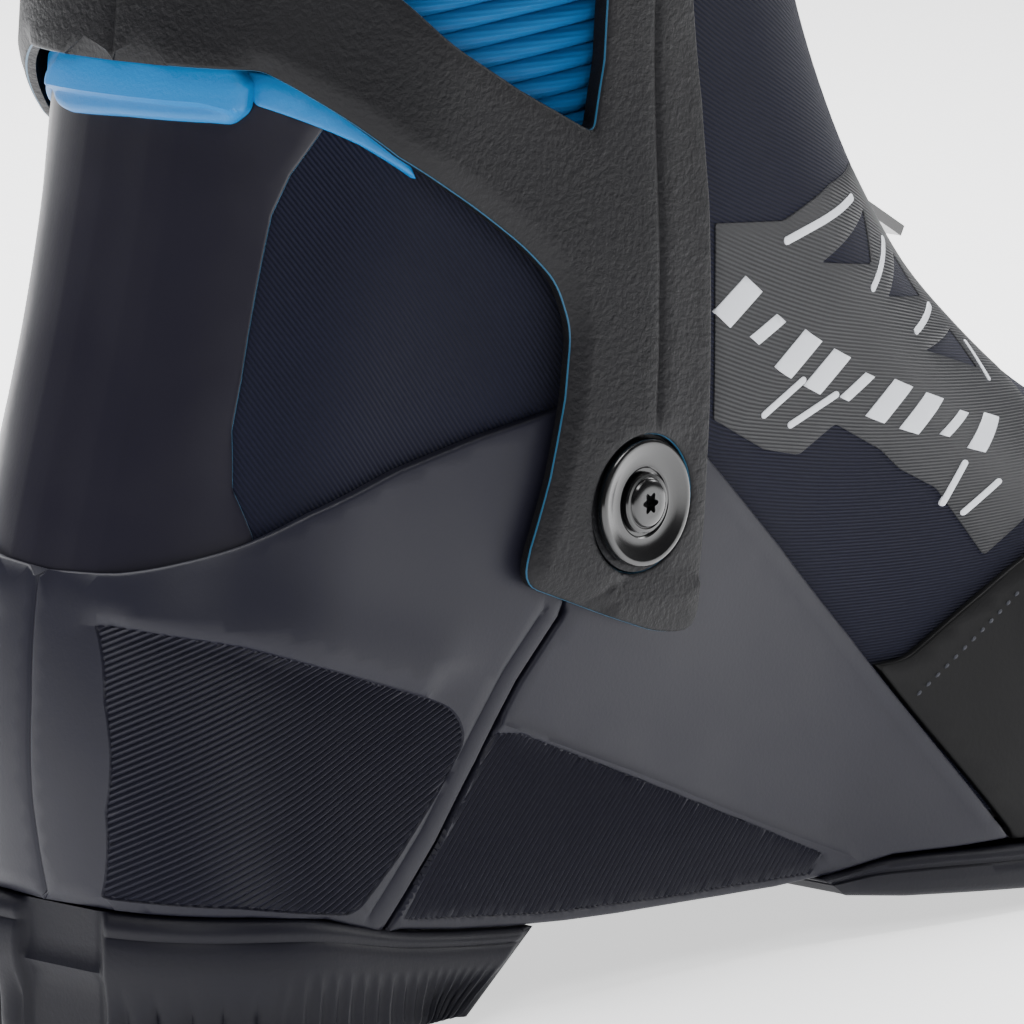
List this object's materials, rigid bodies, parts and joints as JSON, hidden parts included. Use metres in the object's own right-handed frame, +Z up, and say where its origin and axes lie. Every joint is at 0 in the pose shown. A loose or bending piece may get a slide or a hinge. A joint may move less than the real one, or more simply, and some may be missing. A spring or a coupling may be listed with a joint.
{
  "type": "cross country boot",
  "caption": "Cuffed cross country ski boot: moulded heel cradle and midfoot frame, cuff turning on ankle screws, zipped instep, toe bar for a ski binding.",
  "frame": {"origin": "middle of the boot's bounding box, on the ground", "axes": "+X from heel to toe, +Y to the inner side of the foot, +Z up"},
  "size_m": [0.299, 0.1084, 0.2254],
  "materials": {
    "shell": "satin charcoal-navy moulded plastic, fine grain",
    "cuff": "near-black grained plastic",
    "counter": "smooth dark navy",
    "softshell": "dark navy twill softshell",
    "overlay": "smooth black synthetic",
    "rubber": "matt black-navy rubber",
    "hard_plastic": "black glass-filled plastic",
    "blue_pad": "bright blue moulded foam with a fabric face",
    "webbing": "black woven webbing",
    "board": "fibre board",
    "lining": "blue-grey knitted lining",
    "steel": "bright steel",
    "black_metal": "gloss black"
  },
  "bodies": {
    "boot": {"foot_lining_lateral": "lining", "foot_lining_medial": "lining", "footbed": "lining", "forefoot_plate": "board", "heel_counter": "counter", "heel_cradle": "shell", "insole_board": "board", "lace": "webbing", "lace_cover_lateral": "softshell", "lace_cover_medial": "softshell", "lace_guide_lateral": "webbing", "lace_guide_medial": "webbing", "midfoot_frame": "shell", "outsole_forefoot": "rubber", "outsole_heel": "rubber", "pivot_nut_lateral": "steel", "pivot_nut_medial": "steel", "pivot_screw_lateral": "black_metal", "pivot_screw_medial": "black_metal", "pivot_washer_lateral": "black_metal", "pivot_washer_medial": "black_metal", "quarter_lateral": "softshell", "quarter_medial": "softshell", "side_overlay_lateral": "overlay", "side_overlay_medial": "overlay", "toe_bar": "steel", "toe_bar_carrier": "hard_plastic", "toe_cap": "overlay", "tongue": "lining", "zip_chain": "webbing"},
    "cuff": {"cuff_shell": "cuff", "collar_liner": "blue_pad", "shaft_front": "softshell", "shaft_lining": "lining", "achilles_pad": "blue_pad", "pivot_bush_lateral": "hard_plastic", "pivot_bush_medial": "hard_plastic", "cuff_strap": "webbing", "ring_keeper": "webbing", "strap_ring": "steel", "strap_rivet": "black_metal", "keeper_rivet": "black_metal", "pull_loop": "webbing"},
    "strap_end": {"strap_end": "webbing"},
    "slider": {"zip_slider": "black_metal"},
    "puller": {"zip_puller": "black_metal"}
  },
  "joints": [
    {"name": "cuff_flex", "type": "hinge", "parent": "boot", "child": "cuff", "pos_m": [-0.06149, 0.00041, 0.08], "axis": [0, 1, 0], "range_deg": [0, 20]},
    {"name": "strap_open", "type": "hinge", "parent": "cuff", "child": "strap_end", "pos_m": [-0.03649, -0.04927, 0.187], "axis": [0, 0, -1], "range_deg": [0, 110]},
    {"name": "zip_slide", "type": "slide", "parent": "boot", "child": "slider", "axis": [0.7229, 0.0407, -0.6897], "range_m": [0, 0.0233]},
    {"name": "puller_swing", "type": "hinge", "parent": "slider", "child": "puller", "pos_m": [0.03315, 0.00203, 0.11595], "axis": [0.0294, -0.9992, -0.0281], "range_deg": [0, 130]}
  ]
}
